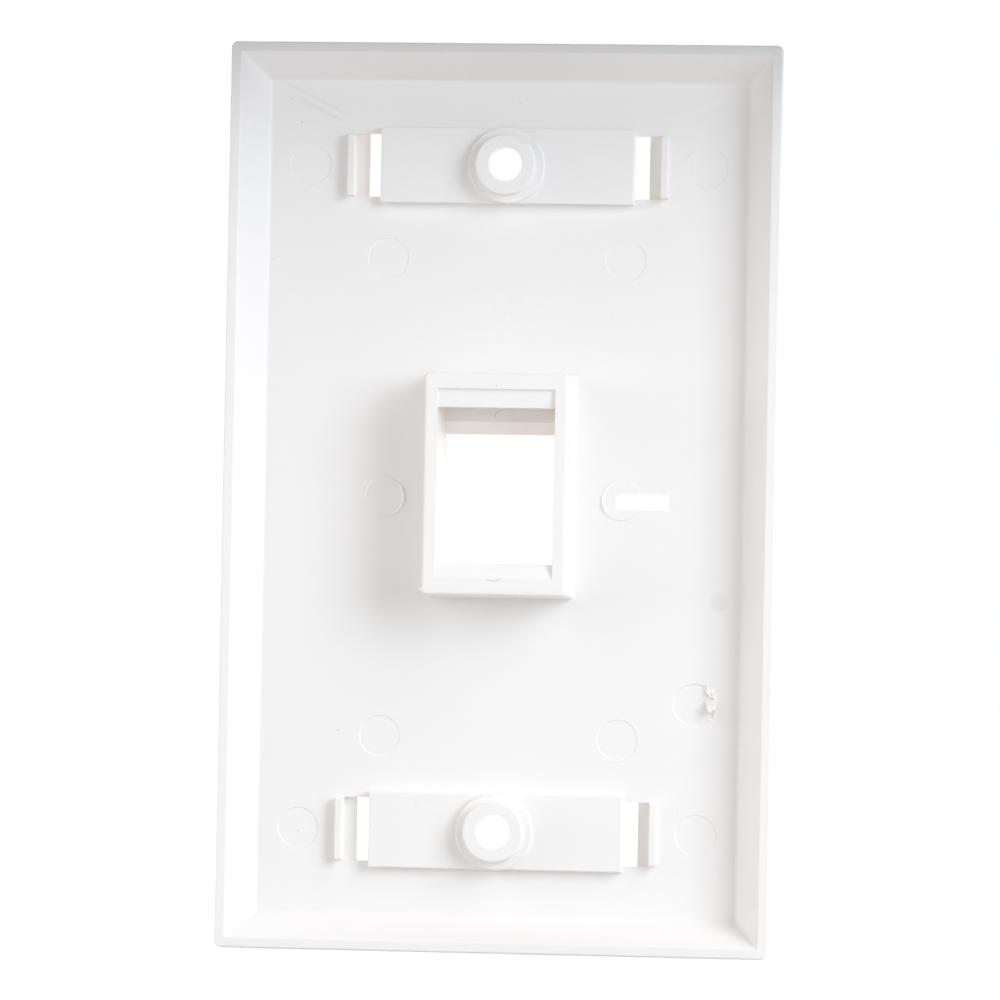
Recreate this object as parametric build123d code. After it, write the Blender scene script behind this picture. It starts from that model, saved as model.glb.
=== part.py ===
"""One-port keystone faceplate for a single-gang wall box, moulded in one piece.

Frame: the plate stands as it hangs on a wall. X runs to the right seen from the room, Z runs up,
and the front faces -Y. The origin is the middle of the plate on the wall plane, where the rim lies.
Depths are measured from that plane towards the room, so what stands behind it has a negative depth.
Sizes are in millimetres.
"""
import os
from math import radians, tan

from build123d import *

# Plate: a shallow pan, open towards the wall
plate_width = 69.85
plate_height = 114.3
plate_depth = 6.6
face_skin = 1.5
corner_radius = 0.8
front_corner_radius = 1.6
land_depth = 1.0
bevel_run = 3.9
rim_width = 1.25
cavity_run = 3.15
cavity_corner_radius = 0.35
front_edge_radius = 0.9
cavity_edge_radius = 0.5
rim_edge_radius = 0.2

# Box screws and their stepped bosses
screw_pitch = 84.0
screw_hole_diameter = 4.3
screw_head_diameter = 7.2
screw_head_angle = 82.0
boss_diameter = 7.7
boss_depth = 0.9
boss_collar_diameter = 9.7
boss_collar_depth = 2.5
boss_edge_radius = 0.3
collar_edge_radius = 0.2

# Label recesses: a window in the front round each screw, with a clip pocket at each end
label_length = 35.7
label_height = 8.0
label_recess = 1.7
label_floor = 1.3
label_wall = 0.78
clip_slot_width = 1.75
clip_pocket_reach = 1.6
clip_lip = 0.7
clip_ridge_thickness = 0.95
clip_ridge_setback = 0.1
clip_ridge_edge_radius = 0.15
label_edge_radius = 0.2

# Keystone port: opening, latch ledges and the sleeve round them
port_width = 14.85
port_aperture_height = 16.45
port_aperture_centre = -0.08
port_ramp_height = 1.5
port_lip = 2.0
port_total_depth = 10.0
ledge_gap = 19.65
ledge_gap_centre = 1.38
ledge_thickness = 2.2
ledge_step = 0.35
upper_ledge_width = 2.3
upper_ledge_fall = 0.35
lower_ledge_width = 1.85
lower_ledge_fall = 0.85
sleeve_side_wall = 1.58
sleeve_end_wall = 2.0
sleeve_draft = 2.0
sleeve_corner_radius = 0.5
sleeve_edge_radius = 0.3

# Small window beside the port
window_width = 6.75
window_height = 2.1
window_offset = 17.75
window_drop = 0.15
window_corner_radius = 0.2

# Ejector pin marks: the pins of the middle row stood low and left raised marks, and the others sunk ones
pin_mark_diameter = 5.2
pin_mark_flare = 0.12
pin_mark_sink = 0.1
pin_mark_rise = 0.12
pin_mark_screw_spacing = 50.5
pin_mark_inner_spacing = 30.2
pin_mark_row_pitch = 30.2
strip_mark_diameter = 1.6
strip_mark_inset = 0.5
lip_mark_diameter = 2.4
lip_mark_inset = 0.7
small_mark_step = 0.1

# Gate: a sunk disc where the plastic was let into the mould, and the stub left when the runner was torn off
gate_x = -24.75
gate_z = -25.6
gate_diameter = 5.4
gate_sink = 0.15
gate_stub_length = 2.0
gate_stub_width = 0.8
gate_stub_height = 1.25
gate_stub_lean = 11.0
gate_stub_tip_length = 0.7
gate_stub_tip_width = 0.35
gate_stub_tip_drop = 0.5
gate_stub_root = 0.3

# Worked out from the sizes above
floor_depth = plate_depth - face_skin
label_floor_depth = plate_depth - label_recess
panel_depth = label_floor_depth - label_floor
panel_height = label_height + 2 * label_wall
panel_length = label_length - 2 * clip_slot_width
port_back_depth = plate_depth - port_total_depth
overrun = 1.0


def level(depth):
    """The plane at a depth behind the wall plane, with its normal towards the room."""
    return Plane.XZ.offset(depth)


def block(x_range, z_range, depth_range):
    """A box between two limits each way."""
    width = x_range[1] - x_range[0]
    height = z_range[1] - z_range[0]
    middle = ((x_range[0] + x_range[1]) / 2, (z_range[0] + z_range[1]) / 2)
    outline = Pos(*middle) * Rectangle(width, height)
    return extrude(level(depth_range[0]) * outline, depth_range[1] - depth_range[0])


def disc(diameter, x, z, depth_range):
    """A round post between two depths."""
    outline = Pos(x, z) * Circle(diameter / 2)
    return extrude(level(depth_range[0]) * outline, depth_range[1] - depth_range[0])


def edges_at(part, depth):
    """The edges of a part that lie in the plane at one depth."""
    return part.edges().filter_by_position(Axis.Y, -depth, -depth)


def pan():
    """The bevelled plate with its hollow back."""
    rim = RectangleRounded(plate_width, plate_height, corner_radius)
    face_width = plate_width - 2 * bevel_run
    face_height = plate_height - 2 * bevel_run
    face = RectangleRounded(face_width, face_height, front_corner_radius)
    land = extrude(level(0) * rim, land_depth)
    bevel = loft([level(land_depth) * rim, level(plate_depth) * face], ruled=True)
    body = land + bevel
    body = fillet(edges_at(body, plate_depth), front_edge_radius)
    mouth_width = plate_width - 2 * rim_width
    mouth_height = plate_height - 2 * rim_width
    mouth = RectangleRounded(mouth_width, mouth_height, cavity_corner_radius)
    floor_width = mouth_width - 2 * cavity_run
    floor_height = mouth_height - 2 * cavity_run
    floor = RectangleRounded(floor_width, floor_height, cavity_corner_radius)
    hollow = loft([level(0) * mouth, level(floor_depth) * floor], ruled=True)
    hollow = fillet(edges_at(hollow, floor_depth), cavity_edge_radius)
    body -= hollow
    return fillet(edges_at(body, 0), rim_edge_radius)


def label_back(z):
    """The raised back of one label recess, with the ridge that closes each clip pocket."""
    half_length = panel_length / 2
    half_height = panel_height / 2
    panel = block((-half_length, half_length), (z - half_height, z + half_height), (panel_depth, plate_depth))
    panel = fillet(edges_at(panel, panel_depth), label_edge_radius)
    ridge_start = label_length / 2 + clip_pocket_reach
    ridge_end = ridge_start + clip_ridge_thickness
    half_ridge = label_height / 2 - clip_ridge_setback
    ridges = []
    for near, far in ((ridge_start, ridge_end), (-ridge_end, -ridge_start)):
        ridge = block((near, far), (z - half_ridge, z + half_ridge), (panel_depth, plate_depth - clip_lip))
        ridges.append(fillet(edges_at(ridge, panel_depth), clip_ridge_edge_radius))
    return [panel] + ridges


def screw_boss(z):
    """The stepped boss round one screw."""
    collar = disc(boss_collar_diameter, 0, z, (boss_collar_depth, label_floor_depth))
    collar = fillet(edges_at(collar, boss_collar_depth), collar_edge_radius)
    boss = disc(boss_diameter, 0, z, (boss_depth, boss_collar_depth))
    boss = fillet(edges_at(boss, boss_depth), boss_edge_radius)
    return [collar, boss]


def label_cuts(z):
    """The front recess, the two through slots and the two clip pockets of one label."""
    half_length = label_length / 2
    half_height = label_height / 2
    z_range = (z - half_height, z + half_height)
    front = plate_depth + overrun
    cuts = [block((-half_length, half_length), z_range, (label_floor_depth, front))]
    slot_start = panel_length / 2
    pocket_end = half_length + clip_pocket_reach
    pocket_floor = plate_depth - clip_lip
    for side in (-1, 1):
        slot = sorted((side * slot_start, side * half_length))
        pocket = sorted((side * slot_start, side * pocket_end))
        cuts.append(block(slot, z_range, (panel_depth - overrun, front)))
        cuts.append(block(pocket, z_range, (panel_depth - overrun, pocket_floor)))
    return cuts


def screw_cuts(z):
    """The screw hole and the countersink for its head, sunk in the label recess."""
    hole = disc(screw_hole_diameter, 0, z, (boss_depth - overrun, plate_depth + overrun))
    sink_depth = (screw_head_diameter - screw_hole_diameter) / 2 / tan(radians(screw_head_angle / 2))
    hole_outline = Pos(0, z) * Circle(screw_hole_diameter / 2)
    head_outline = Pos(0, z) * Circle(screw_head_diameter / 2)
    cone = loft([level(label_floor_depth - sink_depth) * hole_outline, level(label_floor_depth) * head_outline])
    return [hole, cone]


def port_heights():
    """The heights at which the port's ledges and aperture begin and end."""
    ledge_top = ledge_gap_centre + ledge_gap / 2
    ledge_bottom = ledge_gap_centre - ledge_gap / 2
    return {
        "ledge_top": ledge_top,
        "ledge_bottom": ledge_bottom,
        "chamber_top": ledge_top + upper_ledge_width,
        "chamber_bottom": ledge_bottom - lower_ledge_width,
        "aperture_top": port_aperture_centre + port_aperture_height / 2,
        "aperture_bottom": port_aperture_centre - port_aperture_height / 2,
    }


def port_sleeve():
    """The walls that stand round the port, with a little draft towards the wall box."""
    heights = port_heights()
    top = heights["chamber_top"] + sleeve_end_wall
    bottom = heights["chamber_bottom"] - sleeve_end_wall
    width = port_width + 2 * sleeve_side_wall
    height = top - bottom
    spread = (floor_depth - port_back_depth) * tan(radians(sleeve_draft))
    middle = Pos(0, (top + bottom) / 2)
    back = middle * RectangleRounded(width, height, sleeve_corner_radius)
    foot = middle * RectangleRounded(width + 2 * spread, height + 2 * spread, sleeve_corner_radius)
    sleeve = loft([level(port_back_depth) * back, level(floor_depth) * foot], ruled=True)
    sleeve = fillet(edges_at(sleeve, port_back_depth), sleeve_edge_radius)
    return sleeve


def port_hollow():
    """The space that the jack goes through, as one side profile carried across the port."""
    h = port_heights()
    back = port_back_depth
    lip_depth = plate_depth - port_lip
    upper_recess = back + ledge_step
    upper_edge = upper_recess + upper_ledge_fall
    upper_inner = back + ledge_step + ledge_thickness
    lower_edge = back + lower_ledge_fall
    lower_inner = lower_edge + ledge_thickness
    profile = [
        (back - overrun, h["chamber_top"]),
        (upper_recess, h["chamber_top"]),
        (upper_edge, h["ledge_top"]),
        (upper_inner, h["ledge_top"]),
        (upper_inner, h["chamber_top"]),
        (lip_depth, h["chamber_top"]),
        (lip_depth, h["aperture_top"] + port_ramp_height),
        (plate_depth, h["aperture_top"]),
        (plate_depth + overrun, h["aperture_top"]),
        (plate_depth + overrun, h["aperture_bottom"]),
        (lip_depth, h["aperture_bottom"]),
        (lip_depth, h["chamber_bottom"]),
        (lower_inner, h["chamber_bottom"]),
        (lower_inner, h["ledge_bottom"]),
        (lower_edge, h["ledge_bottom"]),
        (back, h["chamber_bottom"]),
        (back - overrun, h["chamber_bottom"]),
    ]
    corners = [(0, -depth, z) for depth, z in profile]
    section = make_face(Polyline(*corners, close=True))
    return extrude(section, port_width / 2, dir=(1, 0, 0), both=True)


def window():
    """The small slot through the face beside the port."""
    outline = Pos(-window_offset, -window_drop) * RectangleRounded(
        window_width, window_height, window_corner_radius
    )
    return extrude(level(floor_depth - overrun) * outline, face_skin + 2 * overrun)


def flared_mark(diameter, x, z, step):
    """A shallow round mark in the floor with a sloped edge. A positive step is sunk and a negative one raised."""
    wide = Pos(x, z) * Circle(diameter / 2)
    narrow = Pos(x, z) * Circle(diameter / 2 - pin_mark_flare)
    return loft([level(floor_depth) * wide, level(floor_depth + step) * narrow])


def sunk_pin_marks():
    """The marks of the ejector pins that stood proud, in four rows above and below the port."""
    places = []
    for side in (-1, 1):
        for row in (-1, 1):
            places.append((side * pin_mark_inner_spacing / 2, row * pin_mark_row_pitch))
            places.append((side * pin_mark_screw_spacing / 2, row * screw_pitch / 2))
    return [flared_mark(pin_mark_diameter, x, z, pin_mark_sink) for x, z in places]


def raised_pin_marks():
    """The marks of the two pins that stood low, one on each side of the port."""
    places = (-pin_mark_inner_spacing / 2, pin_mark_inner_spacing / 2)
    return [flared_mark(pin_mark_diameter, x, 0, -pin_mark_rise) for x in places]


def strip_mark():
    """The small pin mark that cuts into the back of the sleeve below the lower ledge."""
    z = port_heights()["chamber_bottom"] + strip_mark_inset
    return disc(strip_mark_diameter, 0, z, (port_back_depth - overrun, port_back_depth + small_mark_step))


def lip_mark():
    """The small raised pin mark inside the port, above the ramp."""
    heights = port_heights()
    lip_depth = plate_depth - port_lip
    ramp_top = heights["aperture_top"] + port_ramp_height
    depths = (lip_depth - small_mark_step, lip_depth)
    mark = disc(lip_mark_diameter, 0, ramp_top + lip_mark_inset, depths)
    above_ramp = (ramp_top, ramp_top + lip_mark_diameter)
    return mark & block((-lip_mark_diameter, lip_mark_diameter), above_ramp, depths)


def gate_stub():
    """What was left standing when the runner was torn off: a wedge on the gate's edge, highest at its lower end."""
    x = gate_x - gate_diameter / 2 + gate_stub_width
    root_depth = floor_depth + gate_sink + gate_stub_root
    middle = Pos(x, gate_z) * Rot(0, 0, -gate_stub_lean)
    root = middle * Rectangle(gate_stub_width, gate_stub_length)
    tip = middle * Pos(0, -gate_stub_tip_drop) * Rectangle(gate_stub_tip_width, gate_stub_tip_length)
    return loft([level(root_depth) * root, level(floor_depth - gate_stub_height) * tip], ruled=True)


def faceplate():
    """The whole moulding."""
    body = pan()
    body -= sunk_pin_marks()
    body += raised_pin_marks()
    body -= flared_mark(gate_diameter, gate_x, gate_z, gate_sink)
    body += gate_stub()
    rows = (screw_pitch / 2, -screw_pitch / 2)
    for z in rows:
        body += label_back(z)
        body += screw_boss(z)
    body += port_sleeve()
    for z in rows:
        body -= label_cuts(z)
        body -= screw_cuts(z)
    body -= port_hollow()
    body -= strip_mark()
    body += lip_mark()
    body -= window()
    return body


os.makedirs("parts", exist_ok=True)
plate = faceplate()
export_step(plate, "parts/faceplate.step")
print("faceplate:", len(plate.solids()), "solid,", round(plate.volume, 1), "mm3,", plate.bounding_box())
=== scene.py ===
# %% [markdown]
# A keystone faceplate holds one network jack in a wall. It is a single moulding of white ABS plastic, a
# shallow pan about 70 by 114 mm. This scene looks at its back, where the moulding shows how it is made.
#
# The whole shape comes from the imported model, so this file is about light, finish and the few marks that
# a mould leaves. Loading the frame first means that every place below can be given in the model's own
# measures: X to the right seen from the room, Z up, and +Y towards the wall.

# %% Load the frame
from math import cos, pi, radians, sin

import bpy
import numpy as np
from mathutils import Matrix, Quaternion, Vector


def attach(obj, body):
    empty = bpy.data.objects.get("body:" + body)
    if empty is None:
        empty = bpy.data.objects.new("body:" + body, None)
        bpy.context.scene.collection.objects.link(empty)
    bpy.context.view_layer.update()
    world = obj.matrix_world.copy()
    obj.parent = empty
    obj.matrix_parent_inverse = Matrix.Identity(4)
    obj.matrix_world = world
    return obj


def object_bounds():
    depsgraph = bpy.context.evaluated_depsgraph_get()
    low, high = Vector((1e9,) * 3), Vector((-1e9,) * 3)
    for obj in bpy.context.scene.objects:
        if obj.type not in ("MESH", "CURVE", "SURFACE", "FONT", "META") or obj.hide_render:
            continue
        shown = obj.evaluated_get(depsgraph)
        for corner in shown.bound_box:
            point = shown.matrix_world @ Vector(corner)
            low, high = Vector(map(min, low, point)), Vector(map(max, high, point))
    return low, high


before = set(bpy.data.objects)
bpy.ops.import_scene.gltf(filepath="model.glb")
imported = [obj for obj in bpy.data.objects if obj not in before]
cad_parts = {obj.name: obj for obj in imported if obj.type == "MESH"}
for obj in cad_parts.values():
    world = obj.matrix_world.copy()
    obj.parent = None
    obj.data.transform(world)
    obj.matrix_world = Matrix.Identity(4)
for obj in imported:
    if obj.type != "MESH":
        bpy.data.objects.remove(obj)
cad_low, cad_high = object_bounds()
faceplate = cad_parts["faceplate"]
MM = 0.001
cad_size = [round(v / MM, 2) for v in cad_high - cad_low]
print("faceplate:", len(faceplate.data.polygons), "triangles,", cad_size, "mm")

# %% [markdown]
# A finish made of nodes soon becomes hard to read, so its sums are written here as ordinary Python. A
# Wire is a value on its way from one node to the next, and adding or multiplying two Wires adds the Math
# node that does it. Colours need Mix nodes instead, because a Math node would turn them grey, so they
# have a function of their own in the next cell.

# %% Wires that do sums
class Wire:
    """The output of a node, which takes part in sums."""

    def __init__(self, paint, socket):
        self.paint = paint
        self.socket = socket

    def _sum(self, operation, first, second):
        return self.paint.node("ShaderNodeMath", {"operation": operation}, {0: first, 1: second})

    def __add__(self, other):
        return self._sum("ADD", self, other)

    def __radd__(self, other):
        return self._sum("ADD", other, self)

    def __sub__(self, other):
        return self._sum("SUBTRACT", self, other)

    def __rsub__(self, other):
        return self._sum("SUBTRACT", other, self)

    def __mul__(self, other):
        return self._sum("MULTIPLY", self, other)

    def __rmul__(self, other):
        return self._sum("MULTIPLY", other, self)

    def __pow__(self, other):
        return self._sum("POWER", self, other)

    def __abs__(self):
        return self._sum("ABSOLUTE", self, 0.0)

    def at_most(self, other):
        return self._sum("MINIMUM", self, other)

    def at_least(self, other):
        return self._sum("MAXIMUM", self, other)


print("wires add, subtract, multiply, take powers and keep within limits")

# %% [markdown]
# Paint holds one node tree. A single method adds any kind of node to it, and the others are the few
# patterns that the finishes are built from: soft steps, bands, lumps, spots, arcs and streaks. Each is a
# mask or a value from 0 to 1, so masks are multiplied to keep a mark inside a region.

# %% Patterns made of nodes
SPOT_CORE, ARC_CORE, STREAK_FADE = 0.5, 0.3, 0.3


class Paint:
    """A node tree under work, with a single method that adds any node to it."""

    def __init__(self, tree):
        self.tree = tree
        tree.nodes.clear()

    def node(self, kind, settings=None, values=None, out=0):
        """A node of a kind, with its settings made first, then its sockets given values or Wires."""
        made = self.tree.nodes.new(kind)
        for name, value in (settings or {}).items():
            setattr(made, name, value)
        for name, value in (values or {}).items():
            if isinstance(value, Wire):
                self.tree.links.new(value.socket, made.inputs[name])
            else:
                made.inputs[name].default_value = value
        return Wire(self, made.outputs[out]) if made.outputs else made

    def place(self):
        """Where a point lies in the model's frame, in metres."""
        return self.node("ShaderNodeTexCoord", out="Object")

    def split(self, vector):
        """The three parts of a vector."""
        cut = self.node("ShaderNodeSeparateXYZ", values={0: vector})
        return [Wire(self, socket) for socket in cut.socket.node.outputs]

    def distance(self, place, centre):
        """How far a point lies from a centre."""
        ends = {0: place, 1: centre}
        return self.node("ShaderNodeVectorMath", {"operation": "DISTANCE"}, ends, out=1)

    def ramp(self, value, low, high):
        """A smooth step of a value, from 0 at one limit to 1 at the other."""
        limits = {0: value, 1: low, 2: high}
        return self.node("ShaderNodeMapRange", {"interpolation_type": "SMOOTHSTEP"}, limits)

    def between(self, value, middle, half, soft):
        """A mask that is 1 within half a width of a middle value, with soft edges inside it."""
        return self.ramp(abs(value - middle), half, half - soft)

    def noise(self, place, size, detail):
        """Soft random lumps of about a size in metres, from 0 to 1."""
        values = {"Vector": place, "Scale": 1 / size, "Detail": detail}
        return self.node("ShaderNodeTexNoise", values=values)

    def spot(self, place, centre, radius):
        """A soft round mask: 1 in the core round a point, and 0 outside the radius."""
        return self.ramp(self.distance(place, centre), radius, SPOT_CORE * radius)

    def arc(self, place, centre, radius, width):
        """A soft mask along a circle round a point, which fades over a width to both sides."""
        aside = abs(self.distance(place, centre) - radius)
        return self.ramp(aside, width, ARC_CORE * width)

    def streak(self, x, z, start, end, width):
        """A soft mask along a straight line on the plate, which fades at both of its ends."""
        along = (end - start).normalized()
        ahead = (x - start.x) * along.x + (z - start.y) * along.y
        aside = abs((x - start.x) * along.y - (z - start.y) * along.x)
        length = (end - start).length
        fade_in = self.ramp(ahead, 0.0, STREAK_FADE * length)
        fade_out = self.ramp(ahead, length, (1 - STREAK_FADE) * length)
        return self.ramp(aside, width, 0.0) * fade_in * fade_out

    def blend(self, amount, first, second):
        """One colour turning into another."""
        values = {0: amount, 6: first, 7: second}
        return self.node("ShaderNodeMix", {"data_type": "RGBA"}, values, out=2)

    def glance(self):
        """1 for rays that look at a surface, straight, mirrored or through glass, and 0 for the rest."""
        rays = self.node("ShaderNodeLightPath").socket.node.outputs
        kinds = [Wire(self, rays[f"Is {kind} Ray"]) for kind in ("Camera", "Glossy", "Transmission")]
        return sum(kinds[1:], kinds[0]).at_most(1.0)


def new_material(name):
    """A material and the Paint that fills it."""
    material = bpy.data.materials.new(name)
    material.use_nodes = True
    return material, Paint(material.node_tree)


print("spots keep", SPOT_CORE, "of their radius full, and arcs", ARC_CORE, "of their width")

# %% [markdown]
# The plate is ABS with white pigment. It isn't a pure white: the resin under the pigment is a little
# yellow, so light that has bounced about in a corner comes back warmer than light off an open face. A
# base colour with slightly less blue than red gives that by itself, and the key lamp is a touch cool so
# that open faces still look white.
#
# Round the clip pockets and inside the port the plastic is thin and open on both sides, so light comes
# through it and lifts the shade there. The shader lets no light through, so those recesses get a paler
# and warmer base colour instead. That colour is painted light, standing in for the light that comes
# through. A mask finds them by their place. It fades out towards the sleeve's end, the pan floor and the
# front, which keep the colour of the rest.

# %% Colours of the plastic
WHITE = (0.948, 0.926, 0.902, 1.0)
PALE = (0.941, 0.920, 0.897, 1.0)
# Painted light: the paler, warmer colour of the thin recesses, for light that comes through the plastic.
THIN_WALL_PAINTED_LIGHT = (0.995, 0.95, 0.905, 1.0)
STRETCHED = (0.99, 0.975, 0.957, 1.0)
PAN_FLOOR = cad_low.y + 1.5 * MM
SLEEVE_END = cad_high.y
POCKET_X, POCKET_Z = 17.75 * MM, 42.0 * MM
POCKET_HALF_WIDTH, POCKET_HALF_HEIGHT = 2.1 * MM, 4.2 * MM
POCKET_FADE = PAN_FLOOR - 0.15 * MM, PAN_FLOOR - 0.35 * MM
PORT_HALF_WIDTH = 7.6 * MM
PORT_MIDDLE, PORT_HALF_HEIGHT = 1.55 * MM, 12.35 * MM
PORT_FADE = SLEEVE_END - 1.3 * MM, SLEEVE_END - 2.5 * MM
FRONT_FADE = cad_low.y + 0.05 * MM, cad_low.y + 0.2 * MM
SOFT = 0.1 * MM


def painted_light_recesses(paint, x, y, z):
    """A mask of the walls inside the port and of the four clip pockets, which get painted light, never of
    the front face.
    """
    port = paint.between(x, 0.0, PORT_HALF_WIDTH, SOFT)
    port = port * paint.between(z, PORT_MIDDLE, PORT_HALF_HEIGHT, SOFT)
    port = port * paint.ramp(y, *PORT_FADE)
    pockets = paint.between(abs(x), POCKET_X, POCKET_HALF_WIDTH, SOFT)
    pockets = pockets * paint.between(abs(z), POCKET_Z, POCKET_HALF_HEIGHT, SOFT)
    pockets = pockets * paint.ramp(y, *POCKET_FADE)
    behind_front = paint.ramp(y, *FRONT_FADE)
    return port.at_least(pockets) * behind_front


print("recesses up to", round((POCKET_X + POCKET_HALF_WIDTH) / MM, 2), "mm to each side")

# %% [markdown]
# Some marks are in the plastic and have no shape. Specks are grains of burnt resin, and a grey stain lies
# beside the right wall of the picture. Where two streams of melt met behind the corners of the upper
# label pocket, the pigment lies in fine lines, a shade darker or lighter than the rest. Two thin dark
# arcs, a crescent on the end of the sleeve and one inside the port, are painted shade. They stand for the
# shaded edge of a small groove and of an ejector pin's mark, which the shape doesn't have.
#
# Each mark is a mask at a place on the pan floor or on the sleeve's end, measured in three directions, so
# that nothing of it shows on the front. The last number of a speck says how much of the dark it takes.

# %% Places of the marks
BURNT = (0.36, 0.32, 0.28, 1.0)
SHADE = (0.80, 0.785, 0.76, 1.0)
STREAK = (0.985, 0.98, 0.97, 1.0)
# Painted shade for the crescent and the port arc, where small edges would be in shadow.
ARC_SHADE = (0.57, 0.53, 0.48, 1.0)


def on_floor(x, z):
    """A point on the pan floor, from millimetres to the right seen from the room, and up."""
    return Vector((x * MM, PAN_FLOOR, z * MM))


def on_sleeve(x, z):
    """A point on the end of the sleeve."""
    return Vector((x * MM, SLEEVE_END, z * MM))


SPECK_RADIUS = 0.17 * MM
SPECKS = [
    (on_floor(26.5, 47.4), 0.38),
    (on_floor(20.4, -29.6), 0.27),
    (on_floor(-13.6, 23.45), 0.14),
    (on_floor(29.8, 30.0), 0.2),
    (on_floor(27.9, 50.4), 0.17),
    (on_floor(25.3, -42.4), 0.9),
    (on_sleeve(0.0, 13.9), 0.25),
]
STAIN, STAIN_RADIUS, STAIN_DEPTH = on_floor(-27.7, -12.6), 1.5 * MM, 0.35
WELD_WIDTH, DARK_WELD_DEPTH, LIGHT_WELD_DEPTH = 0.35 * MM, 0.45, 0.5
DARK_WELDS = [(30.0, 53.1, 19.9, 47.9), (27.4, 50.5, 20.3, 47.1)]
LIGHT_WELDS = [(28.1, 51.9, 20.1, 47.5), (-28.6, 51.6, -21.0, 47.5)]
WELD_HIGH = PAN_FLOOR + 1.0 * MM, PAN_FLOOR + 0.5 * MM
WELD_LOW = PAN_FLOOR - 0.6 * MM, PAN_FLOOR - 0.3 * MM
# The crescent and the port arc are painted shade along edges that the shape doesn't have.
CRESCENT, CRESCENT_RADIUS = on_sleeve(-0.1, -9.0), 1.53 * MM
CRESCENT_WIDTH, CRESCENT_SHADE_DEPTH, CRESCENT_FADE = 0.1 * MM, 0.6, (-10.2 * MM, -10.4 * MM)
PORT_ARC, PORT_ARC_RADIUS = Vector((0.15 * MM, PAN_FLOOR + 0.5 * MM, 10.2 * MM)), 0.95 * MM
PORT_ARC_WIDTH, PORT_ARC_SHADE_DEPTH, PORT_ARC_FADE = 0.14 * MM, 0.35, (10.9 * MM, 11.5 * MM)
print(len(SPECKS), "specks,", len(DARK_WELDS) + len(LIGHT_WELDS), "weld lines, a stain and two arcs")

# %% [markdown]
# The marks are laid over the plain colour one by one, each with a Mix node whose factor is the mark's
# mask times its depth. The weld lines stop short of the label panel's walls above the floor and of the
# front below it. Only the lower part of the crescent's circle shows, and only one side of the port arc's.
# Both arcs are painted shade.

# %% Marks in the plastic and painted shade of two arcs
def marks(paint, place, colour):
    """The colour of the plastic with its weld lines, stain and specks, and two pin arcs of painted shade.
    """
    x, y, z = paint.split(place)
    off_walls = paint.ramp(y, *WELD_HIGH)
    off_front = paint.ramp(y, *WELD_LOW)
    for welds, shade, depth in (
        (DARK_WELDS, SHADE, DARK_WELD_DEPTH),
        (LIGHT_WELDS, STREAK, LIGHT_WELD_DEPTH),
    ):
        for x0, z0, x1, z1 in welds:
            line = paint.streak(x, z, Vector((x0, z0)) * MM, Vector((x1, z1)) * MM, WELD_WIDTH)
            colour = paint.blend(line * off_walls * off_front * depth, colour, shade)
    colour = paint.blend(paint.spot(place, STAIN, STAIN_RADIUS) * STAIN_DEPTH, colour, SHADE)
    # Painted shade: the crescent and the port arc darken where small edges would fall in shadow.
    crescent = paint.arc(place, CRESCENT, CRESCENT_RADIUS, CRESCENT_WIDTH) * paint.ramp(z, *CRESCENT_FADE)
    colour = paint.blend(crescent * CRESCENT_SHADE_DEPTH, colour, ARC_SHADE)
    port_arc_shade = paint.arc(place, PORT_ARC, PORT_ARC_RADIUS, PORT_ARC_WIDTH)
    port_arc_shade = port_arc_shade * paint.ramp(x + z, *PORT_ARC_FADE)
    colour = paint.blend(port_arc_shade * PORT_ARC_SHADE_DEPTH, colour, ARC_SHADE)
    for speck, depth in SPECKS:
        colour = paint.blend(paint.spot(place, speck, SPECK_RADIUS) * depth, colour, BURNT)
    return colour


print("the darkest speck takes", max(depth for _, depth in SPECKS), "of the burnt colour")

# %% [markdown]
# The side towards the wall was never polished in the mould. It has a very fine grain and a soft sheen, so
# its roughness wanders a little and a bump of a few thousandths of a millimetre breaks up the highlights.
# The front was polished, so the grain fades out towards it. The flow of the melt shows as broad, faint
# changes of tone and sheen. A Principled shader takes all of this, with the refractive index of ABS.

# %% White plastic
GRAIN_SIZE, GRAIN_DETAIL = 0.25 * MM, 3.0
FLOW_SIZE, FLOW_DETAIL = 18 * MM, 2.0
FLOW_LIMITS, FLOW_TONE = (0.3, 0.7), 0.5
ROUGHNESS, GRAIN_ROUGHNESS, FLOW_ROUGHNESS = 0.3, 0.1, 0.06
BUMP_STRENGTH, BUMP_HEIGHT = 0.35, 0.02 * MM
REFRACTION = 1.54
POLISH_FADE = PAN_FLOOR, cad_low.y + 0.3 * MM


def plastic(name, light, dark):
    """Moulded white ABS that wanders between two colours, with a fine grain, its marks and painted light
    in its thin recesses.
    """
    material, paint = new_material(name)
    place = paint.place()
    x, y, z = paint.split(place)
    grain = paint.noise(place, GRAIN_SIZE, GRAIN_DETAIL)
    flow = paint.noise(place, FLOW_SIZE, FLOW_DETAIL)
    tone = paint.ramp(flow, *FLOW_LIMITS)
    colour = paint.blend(tone * FLOW_TONE, light, dark)
    # Painted light: the thin recesses get a paler, warmer colour for the light that comes through them.
    colour = paint.blend(painted_light_recesses(paint, x, y, z), colour, THIN_WALL_PAINTED_LIGHT)
    colour = marks(paint, place, colour)
    polished = paint.ramp(y, *POLISH_FADE)
    rough = ROUGHNESS + (grain - 0.5) * GRAIN_ROUGHNESS * (1.0 - polished) + (flow - 0.5) * FLOW_ROUGHNESS
    height = grain * (1.0 - polished)
    bump_values = {"Strength": BUMP_STRENGTH, "Distance": BUMP_HEIGHT, "Height": height}
    bump = paint.node("ShaderNodeBump", values=bump_values)
    finish = {"Base Color": colour, "Roughness": rough, "IOR": REFRACTION, "Normal": bump}
    shader = paint.node("ShaderNodeBsdfPrincipled", values=finish)
    paint.node("ShaderNodeOutputMaterial", values={"Surface": shader})
    return material


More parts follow.
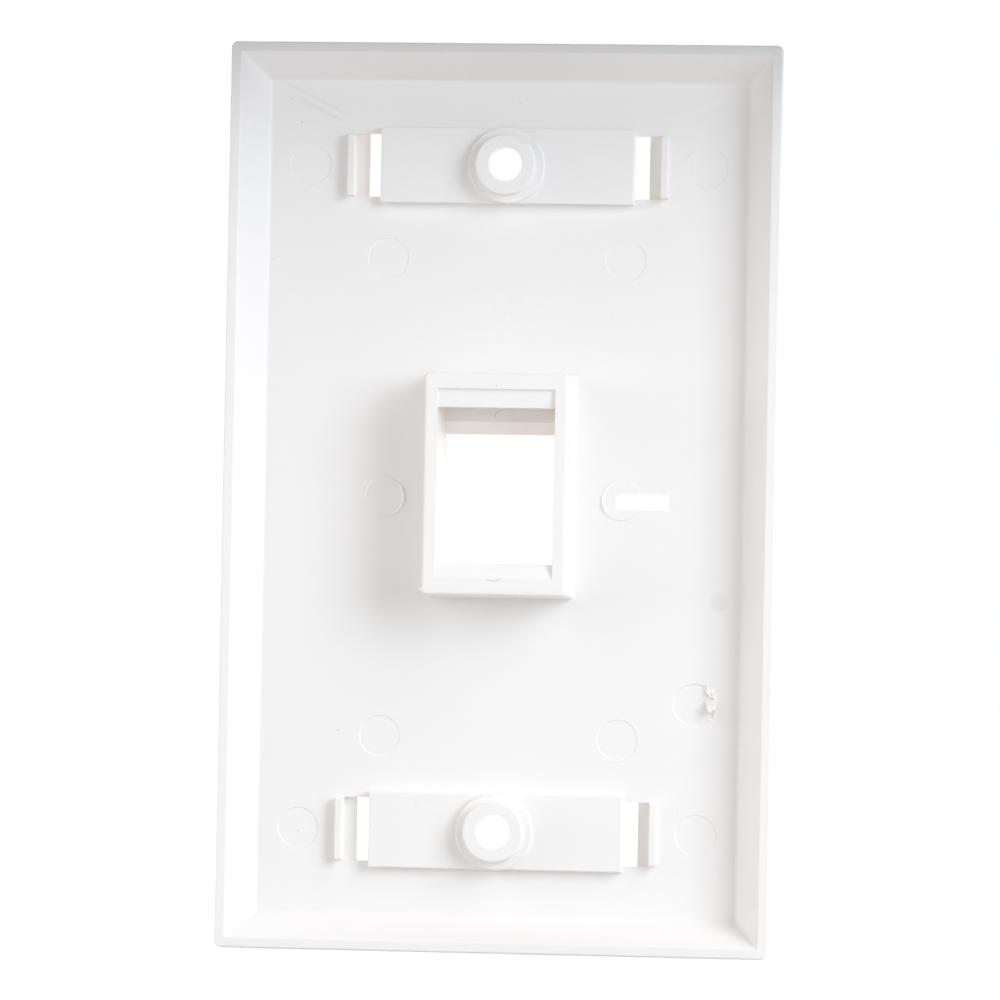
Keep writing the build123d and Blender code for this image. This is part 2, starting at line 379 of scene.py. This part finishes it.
white_plastic = plastic("white_plastic", WHITE, PALE)
for plate_slot in faceplate.material_slots:
    plate_slot.material = white_plastic
print("white plastic of", len(white_plastic.node_tree.nodes), "nodes on the faceplate")

# %% [markdown]
# The melt came in through a gate in the floor near one side, and the plate was twisted off it. That
# leaves a stump, which the model has, and round it torn skin, too ragged for CAD. The mould also leaks a
# little where its parts meet, and the leak leaves thin flash.
#
# All of this is one kind of shape, a burr: a low ridge along a path, half round across and uneven along
# its length. So one function makes every one, from the few points of the path, a width and a height. Half
# of each burr lies sunk in the face that carries it, which is how it is welded on. ABS turns whiter where
# it is stretched, so these torn edges get a paler colour than the plate.

# %% A burr
STATIONS, SPOKES = 49, 16
TIP = 1e-3
SWELL, SWELL_START = 0.28, 0.7
SHIVER, SHIVER_PACE, SHIVER_START = 0.17, 2.3, 2.1
stretched_plastic = plastic("stretched_plastic", STRETCHED, WHITE)


def burr(name, face, points, width, height, ripples, lean=0.0, thickest=0.5):
    """A torn ridge on a face that looks towards the wall, closed all round.

    The path runs smoothly through its points, given in millimetres on the face. A point of the surface is
    the path's point, plus half the width times the cosine of an angle, sideways, plus the height times
    its sine, outwards. Both shrink to nothing at the ends, by the product of a power of how far each end
    is, and are greatest at the thickest share of the way. They also swell and shrink along it with a sum
    of two sines. A lean pushes the crest sideways, as on a curl of torn skin.
    """
    along = np.linspace(0.0, 1.0, STATIONS)
    knots = np.linspace(0.0, 1.0, len(points))
    fit = np.polyfit(knots, np.array(points, float), min(3, len(points) - 1))
    path = np.stack([np.polyval(fit[:, 0], along), np.polyval(fit[:, 1], along)], axis=1) * MM
    ahead = np.gradient(path, axis=0)
    ahead /= np.linalg.norm(ahead, axis=1, keepdims=True)
    aside = np.stack([ahead[:, 1], -ahead[:, 0]], axis=1)
    near, far = thickest, 1 - thickest
    from_start, to_end = np.clip(along, TIP, 1.0), np.clip(1 - along, TIP, 1.0)
    taper = from_start**near * to_end**far / (near**near * far**far)
    turns = 2 * pi * ripples * along
    rag = 1 + SWELL * np.sin(turns + SWELL_START) + SHIVER * np.sin(SHIVER_PACE * turns + SHIVER_START)
    angle = np.linspace(0, 2 * pi, SPOKES, endpoint=False)
    out = height * MM * (taper * rag)[:, None] * np.sin(angle)
    side = 0.5 * width * MM * (taper * (2 - rag))[:, None] * np.cos(angle) + lean * out
    surface = np.empty((STATIONS, SPOKES, 3))
    surface[:, :, 0] = path[:, None, 0] + side * aside[:, None, 0]
    surface[:, :, 1] = face + out
    surface[:, :, 2] = path[:, None, 1] + side * aside[:, None, 1]
    corners = np.arange(STATIONS * SPOKES).reshape(STATIONS, SPOKES)
    here, there = corners[:-1], corners[1:]
    sides = [here, np.roll(here, -1, 1), np.roll(there, -1, 1), there]
    quads = np.stack(sides, axis=-1).reshape(-1, 4)
    ends = [corners[0][::-1].tolist(), corners[-1].tolist()]
    mesh = bpy.data.meshes.new(name)
    mesh.from_pydata(surface.reshape(-1, 3).tolist(), [], quads.tolist() + ends)
    made = bpy.data.objects.new(name, mesh)
    bpy.context.scene.collection.objects.link(made)
    mesh.polygons.foreach_set("use_smooth", [True] * len(mesh.polygons))
    mesh.materials.append(stretched_plastic)
    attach(made, "root")
    return made


print("a burr has", STATIONS, "stations of", SPOKES, "corners")

# %% [markdown]
# At the gate there is a broad skin over the disc's edge, a thin lip with a crack beside it, a flap
# against the stump, a foot and a crumb. Near the top edge a thread of plastic lies stuck to the floor.
# The leaks leave a spur at one corner of the sleeve and a few whiskers along its lower edge. The mould
# leaks round the two ejector pins beside the port too, which sit a little low, and leaves a broken lip on
# the raised mark of each.
#
# Points, widths and heights are in millimetres. The lips follow the circle of a pin mark, so their points
# come from angles.

# %% Torn gate and flash
FLOOR_BURRS = {
    "gate_torn_skin": dict(
        points=[(-26.62, -23.2), (-27.05, -23.95), (-27.3, -24.6), (-27.42, -25.4)],
        width=0.8, height=0.17, ripples=3,
    ),
    "gate_torn_lip": dict(
        points=[(-26.3, -22.9), (-26.55, -23.6), (-26.72, -24.15), (-26.9, -24.6)],
        width=0.26, height=0.42, ripples=2, lean=-0.5,
    ),
    "gate_torn_edge": dict(
        points=[(-26.0, -22.95), (-26.17, -23.4), (-26.3, -23.9), (-26.4, -24.4)],
        width=0.2, height=0.25, ripples=3, lean=0.2,
    ),
    "gate_flap": dict(
        points=[(-26.78, -24.6), (-26.97, -25.4), (-27.15, -26.35)],
        width=0.75, height=0.6, ripples=1, lean=0.1, thickest=0.8,
    ),
    "gate_torn_foot": dict(
        points=[(-27.3, -26.5), (-27.42, -26.85), (-27.3, -27.2)],
        width=0.2, height=0.22, ripples=2, lean=-0.3,
    ),
    "gate_crumb": dict(
        points=[(-26.6, -27.35), (-27.1, -27.55)],
        width=0.3, height=0.16, ripples=1,
    ),
    "stuck_thread": dict(
        points=[(-1.0, 50.75), (-1.2, 50.5), (-1.5, 50.1), (-1.8, 49.8), (-1.85, 49.55)],
        width=0.14, height=0.12, ripples=2,
    ),
}
SPUR_FACE = SLEEVE_END - 0.25 * MM
SPUR = dict(points=[(9.5, -11.5), (9.1, -11.75), (8.8, -11.95)], width=0.22, height=0.14, ripples=1)
PIN_X, PIN_LIP_RADIUS, PIN_LIP_POINTS = 15.1, 2.42, 7
LEFT_LIP = dict(width=0.42, height=0.35, ripples=2, lean=0.45)
WINDOW_LIP = dict(width=0.28, height=0.26, ripples=2)
PIN_LIPS = [(PIN_X, 95, 214, LEFT_LIP), (PIN_X, 49, -60, LEFT_LIP), (-PIN_X, 118, 262, WINDOW_LIP)]
WHISKER_FACE, WHISKERS = SLEEVE_END - 0.12 * MM, 4
WHISKER_X, WHISKER_PITCH, WHISKER_SKEW = 6.2, 1.45, 0.05
WHISKER_ROOT, WHISKER_END = -11.8, -12.18
WHISKER = dict(width=0.1, height=0.1, ripples=1)


def arc_points(x, z, radius, start, stop):
    """Points on an arc round a place on the face, by angles from the right of the picture upwards."""
    turns = np.radians(np.linspace(start, stop, PIN_LIP_POINTS))
    return np.stack([x - radius * np.cos(turns), z + radius * np.sin(turns)], axis=1)


burrs = [burr(name, PAN_FLOOR, **form) for name, form in FLOOR_BURRS.items()]
burrs.append(burr("sleeve_spur", SPUR_FACE, **SPUR))
for number, (x, start, stop, form) in enumerate(PIN_LIPS, 1):
    line = arc_points(x, 0.0, PIN_LIP_RADIUS, start, stop)
    burrs.append(burr(f"pin_lip_{number}", PAN_FLOOR, line, **form))
for whisker in range(WHISKERS):
    foot = WHISKER_X - WHISKER_PITCH * whisker
    line = [(foot, WHISKER_ROOT), (foot + WHISKER_SKEW, WHISKER_END)]
    burrs.append(burr(f"sleeve_whisker_{whisker + 1}", WHISKER_FACE, line, **WHISKER))
print(len(burrs), "burrs of", sum(len(piece.data.polygons) for piece in burrs), "faces")

# %% [markdown]
# The plate stands on its lower edge on a plain white table. In the photograph the surroundings are pure
# white, which is not light on the plate but an overexposed background. So the table looks white to the
# camera and in reflections, by a glow that no other rays meet, while the plate itself is lit at a plain
# level. The table still has a diffuse surface under that glow, so the plate keeps its shadow where it
# touches, and light bounces up off it from below.

# %% Table
GLOW_WHITE = (1, 1, 1, 1)
TABLE_COLOUR, TABLE_GLOW = (0.6, 0.6, 0.6, 1.0), 0.6
TABLE_RADIUS, TABLE_GAP, TABLE_SIDES = 6.0, 0.1 * MM, 96


def white_table(name, glow):
    """A white diffuse surface that looks brighter to the camera and in reflections."""
    material, paint = new_material(name)
    strength = paint.glance() * glow
    diffuse = paint.node("ShaderNodeBsdfDiffuse", values={"Color": TABLE_COLOUR})
    light = paint.node("ShaderNodeEmission", values={"Color": GLOW_WHITE, "Strength": strength})
    both = paint.node("ShaderNodeAddShader", values={0: diffuse, 1: light})
    paint.node("ShaderNodeOutputMaterial", values={"Surface": both})
    return material


def disc(name, radius, height):
    """A round flat sheet: points at a radius and an angle, on a level, with one middle point."""
    angle = np.linspace(0, 2 * pi, TABLE_SIDES, endpoint=False)
    level = np.full(angle.shape, height)
    rim = np.stack([radius * np.cos(angle), radius * np.sin(angle), level], axis=1)
    points = np.vstack([[[0, 0, height]], rim])
    ring = np.arange(1, len(points))
    faces = np.stack([np.zeros_like(ring), ring, np.roll(ring, -1)], axis=1)
    mesh = bpy.data.meshes.new(name)
    mesh.from_pydata(points.tolist(), [], faces.tolist())
    made = bpy.data.objects.new(name, mesh)
    bpy.context.scene.collection.objects.link(made)
    return made


table = disc("table", TABLE_RADIUS, cad_low.z - TABLE_GAP)
table.data.materials.append(white_table("white_table", TABLE_GLOW))
print("table at", round((cad_low.z - TABLE_GAP) / MM, 2), "mm")

# %% [markdown]
# Inside the pan each wall has its own grey, and those greys say where the room's light comes from. Each
# glow here is a broad soft patch of light in one direction: a cosine of the angle from its middle, raised
# to a power that sets how sharp it is. Two stand for bright walls high up, two for a bright side of the
# room on the left, and two shine from the front side, through the port and over the top. The rest of the
# room is dim behind the camera and soft in front. The camera and the reflections see plain white instead.
#
# The four numbers of a glow are the degrees from +Y, the degrees round it from the right of the picture
# upwards, the strength and the power.

# %% Room light
ROOM_FRONT, ROOM_FADE = 0.48, 0.6
ROOM_COLOUR = (1.0, 0.993, 0.988, 1.0)
GLOWS = {
    "high on the right": (62, 45, 3.6, 16),
    "high on the left": (62, 135, 1.15, 16),
    "in front, on the left": (36, 180, 1.95, 8),
    "far out on the left": (82, 180, 3.8, 16),
    "from the front side, right": (115, 0, 3.5, 16),
    "from the front side, high": (115, 90, 1.5, 16),
}


def direction(off, turn):
    """The way some degrees off +Y, turned round it from the right of the picture, which is -X, upwards."""
    tilt, turned = radians(off), radians(turn)
    return Vector((-sin(tilt) * cos(turned), cos(tilt), sin(tilt) * sin(turned)))


def room_light(name):
    """Light from all round, whose strength depends on the direction, and plain white to the camera."""
    world = bpy.data.worlds.new(name)
    world.use_nodes = True
    paint = Paint(world.node_tree)
    way = paint.split(paint.node("ShaderNodeTexCoord", out="Generated"))
    strength = paint.ramp(way[1], ROOM_FADE, -ROOM_FADE) * ROOM_FRONT
    for off, turn, power, sharpness in GLOWS.values():
        middle = direction(off, turn)
        nearness = (way[0] * middle.x + way[1] * middle.y + way[2] * middle.z).at_least(0.0)
        strength = strength + nearness ** sharpness * power
    glance = paint.glance()
    soft = paint.node("ShaderNodeBackground", values={"Color": ROOM_COLOUR, "Strength": strength})
    white = paint.node("ShaderNodeBackground", values={"Color": GLOW_WHITE, "Strength": 1.0})
    either = paint.node("ShaderNodeMixShader", values={0: glance, 1: soft, 2: white})
    paint.node("ShaderNodeOutputWorld", values={"Surface": either})
    return world


bpy.context.scene.world = room_light("room")
print("room light from", len(GLOWS), "broad glows")

# %% [markdown]
# The hard part of the light is one large window or softbox, 50 degrees to the right of the plate's axis
# and a little above it. The shadows give its size: beside the port sleeve the shadow stays flat for a
# third of its width and then fades, so the lamp spans about 26 degrees sideways. A large area lamp there
# gives the same soft edges. A second, weaker one lights the front for the other views.

# %% Lamps
KEY_SIDE, KEY_ABOVE, KEY_DISTANCE, KEY_POWER = 50, 14, 1.2, 6.2
KEY_HALF_SIDE, KEY_HALF_UP = radians(13), radians(14)
KEY_COLOUR = (0.93, 1.0, 1.12)
KEY_WIDTH = 2 * KEY_DISTANCE * np.tan(KEY_HALF_SIDE)
KEY_HEIGHT = 2 * KEY_DISTANCE * np.tan(KEY_HALF_UP)
FRONT_SIDE, FRONT_ABOVE, FRONT_DISTANCE, FRONT_POWER = 180, 35, 1.2, 3.0
FRONT_SIZE, FRONT_COLOUR = 0.5, (1, 1, 1)


def lamp(name, sideways, above, distance, width, height, power, colour):
    """A rectangular soft lamp, at an angle from +Y towards -X and one upwards, that faces the plate."""
    light = bpy.data.lights.new(name, "AREA")
    light.shape = "RECTANGLE"
    light.size = width
    light.size_y = height
    light.energy = power
    light.color = colour
    made = bpy.data.objects.new(name, light)
    side, up = radians(sideways), radians(above)
    way = Vector((-sin(side) * cos(up), cos(side) * cos(up), sin(up)))
    made.location = way * distance
    made.rotation_mode = "QUATERNION"
    made.rotation_quaternion = way.to_track_quat("Z", "Y")
    bpy.context.scene.collection.objects.link(made)
    return made


lamp("window_light", KEY_SIDE, KEY_ABOVE, KEY_DISTANCE, KEY_WIDTH, KEY_HEIGHT, KEY_POWER, KEY_COLOUR)
lamp(
    "front_light", FRONT_SIDE, FRONT_ABOVE, FRONT_DISTANCE,
    FRONT_SIZE, FRONT_SIZE, FRONT_POWER, FRONT_COLOUR,
)
print("key lamp", round(KEY_WIDTH, 2), "by", round(KEY_HEIGHT, 2), "m at", KEY_DISTANCE, "m")

# %% [markdown]
# The top of the plate is greyer than the rest, most of all on the flat rim, which nothing on the plate
# can shade. So something dark stood close above it, just out of the picture. Photographers do that with a
# black card, a flag. It is hidden from the camera here, and only takes some of the room's light away.

# %% Flag
FLAG_GAP, FLAG_REACH, FLAG_HALF_WIDTH = 9 * MM, 27 * MM, 0.2
BLACK = (0.03, 0.03, 0.03, 1.0)


def flag(name):
    """A flat dark card above the plate, from the wall plane to its reach towards the camera."""
    height = cad_high.z + FLAG_GAP
    corners = [
        (-FLAG_HALF_WIDTH, 0.0, height),
        (FLAG_HALF_WIDTH, 0.0, height),
        (FLAG_HALF_WIDTH, FLAG_REACH, height),
        (-FLAG_HALF_WIDTH, FLAG_REACH, height),
    ]
    mesh = bpy.data.meshes.new(name)
    mesh.from_pydata(corners, [], [(0, 1, 2, 3)])
    made = bpy.data.objects.new(name, mesh)
    bpy.context.scene.collection.objects.link(made)
    made.visible_camera = False
    made.visible_glossy = False
    material, paint = new_material("black_card")
    dark = paint.node("ShaderNodeBsdfDiffuse", values={"Color": BLACK})
    paint.node("ShaderNodeOutputMaterial", values={"Surface": dark})
    mesh.materials.append(material)
    return made


flag("flag")
print("flag", FLAG_GAP / MM, "mm above the plate, reaching out", FLAG_REACH / MM, "mm")

# %% [markdown]
# The camera stood almost square to the plate, a little to the right of it and a touch low, and the plate
# lay about one degree askew in the picture. The distance comes from how much smaller the far edges look
# than the near ones. The three angles and the distance are enough to place the camera, so it is built
# from them instead of from a matrix.

# %% Camera
YAW, PITCH, ROLL = radians(6.795), radians(-1.432), radians(1.096)
AIM = Vector((-0.293, 0.0, -0.305)) * MM
DISTANCE = 880.8 * MM
SENSOR_WIDTH, FOCAL_LENGTH = 36.0, 252.62
away = Vector((-sin(YAW) * cos(PITCH), cos(YAW) * cos(PITCH), sin(PITCH)))
lens = bpy.data.cameras.new("camera")
lens.sensor_width = SENSOR_WIDTH
lens.lens = FOCAL_LENGTH
camera = bpy.data.objects.new("camera", lens)
camera.location = AIM + away * DISTANCE
camera.rotation_mode = "QUATERNION"
camera.rotation_quaternion = away.to_track_quat("Z", "Y") @ Quaternion((0, 0, 1), ROLL)
bpy.context.scene.collection.objects.link(camera)
bpy.context.scene.camera = camera
bpy.context.scene.view_settings.view_transform = "Standard"
print("camera at", [round(v / MM, 1) for v in camera.location], "mm")

# %% Finish
print("scene built")
